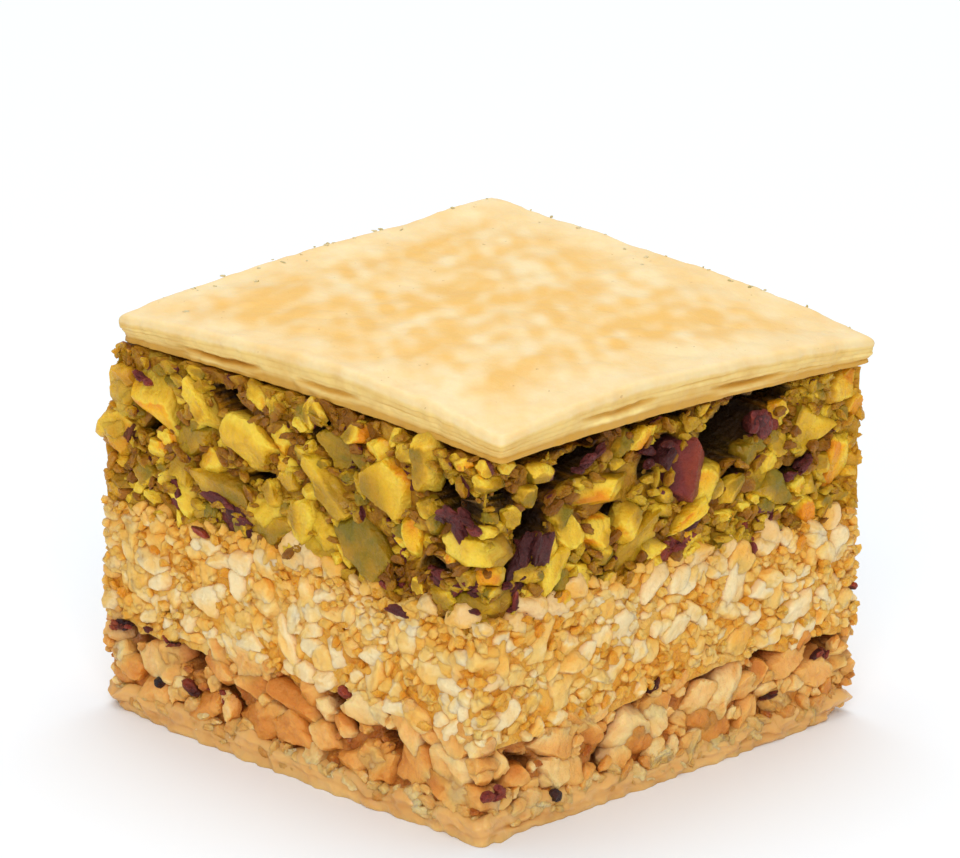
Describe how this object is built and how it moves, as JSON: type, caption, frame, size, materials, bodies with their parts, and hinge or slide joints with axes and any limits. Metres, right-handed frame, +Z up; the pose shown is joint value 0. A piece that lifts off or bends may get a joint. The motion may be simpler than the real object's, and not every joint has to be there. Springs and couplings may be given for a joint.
{
  "type": "baklava piece",
  "caption": "Square-cut piece of layered baklava with a flat foot, chopped nut layers and a warped, flaky pastry lid.",
  "frame": {"origin": "centre of the whole object's box in plan, at the height of the surface it stands on", "axes": "+Z up; the four cut sides face along X and Y, and the front corner points to +X -Y"},
  "size_m": [0.0412, 0.0416, 0.0317],
  "materials": {
    "soaked_pastry": "thin pastry soaked with syrup, translucent tan-gold, satin",
    "toasted_nuts": "toasted chopped nuts, orange-tan with brown crevices, slightly oily",
    "blanched_nuts": "finely chopped cream-coloured nuts half sunk in golden syrup, satin",
    "pistachios": "coarsely chopped pistachios, yellow to olive green with purple skins, slightly oily",
    "crisp_pastry": "baked pastry leaves, pale cream with golden patches, satin glaze"
  },
  "bodies": {
    "root": {"bottom_pastry": "soaked_pastry", "toasted_nut_layer": "toasted_nuts", "blanched_nut_layer": "blanched_nuts", "pistachio_layer": "pistachios", "top_pastry": "crisp_pastry"}
  },
  "joints": []
}
